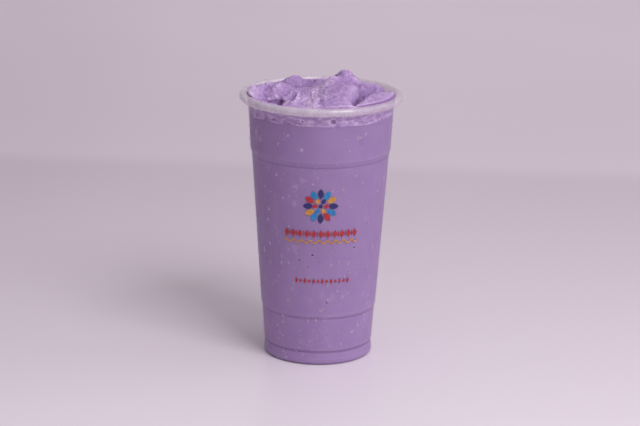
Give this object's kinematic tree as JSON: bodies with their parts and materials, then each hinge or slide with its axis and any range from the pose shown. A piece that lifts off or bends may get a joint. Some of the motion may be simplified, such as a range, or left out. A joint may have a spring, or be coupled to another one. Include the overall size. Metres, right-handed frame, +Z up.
{
  "type": "taro smoothie",
  "caption": "Thick purple taro smoothie with an uneven icy crown, filling a tall, clear takeaway cup with a rolled rim; it stands on the cup's foot ring.",
  "frame": {"origin": "on the table under the middle of the cup's foot ring", "axes": "+Z up along the cup's axis, -Y towards the decorated front, +X to the viewer's right"},
  "size_m": [0.095, 0.095, 0.169],
  "materials": {
    "cup": "thin translucent polypropylene, satin",
    "smoothie": "opaque blended taro drink with fine air bubbles",
    "slush": "granular blended ice, moist"
  },
  "bodies": {
    "root": {"cup": "cup", "smoothie": "smoothie", "slush_crown": "slush"}
  },
  "joints": []
}
